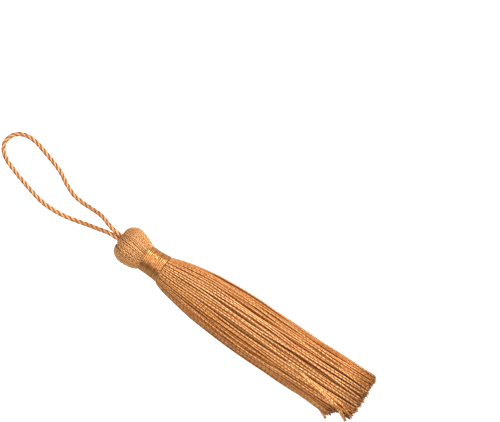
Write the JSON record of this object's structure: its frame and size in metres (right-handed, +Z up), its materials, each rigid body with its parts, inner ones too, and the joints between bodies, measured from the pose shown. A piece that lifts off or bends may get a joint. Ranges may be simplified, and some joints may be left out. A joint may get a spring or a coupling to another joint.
{
  "type": "tassel with hanging loop",
  "caption": "Silky yarn tassel with a rounded head, a floss-wrapped neck, a long straight cut skirt and a twisted cord loop for hanging.",
  "frame": {"origin": "on the surface that the tassel lies on, under the widest part of the head", "axes": "+X along the tassel from the head to the cut ends of the skirt, +Z up from the surface, the loop on the -X side"},
  "size_m": [0.1233, 0.0189, 0.0103],
  "materials": {
    "yarn": "silky twisted yarn, golden brown",
    "floss": "satin floss, golden brown",
    "cord": "silky three-ply twisted cord, golden brown"
  },
  "bodies": {
    "root": {"yarn_bundle": "yarn", "neck_wrap": "floss", "hanging_loop": "cord"}
  },
  "joints": []
}
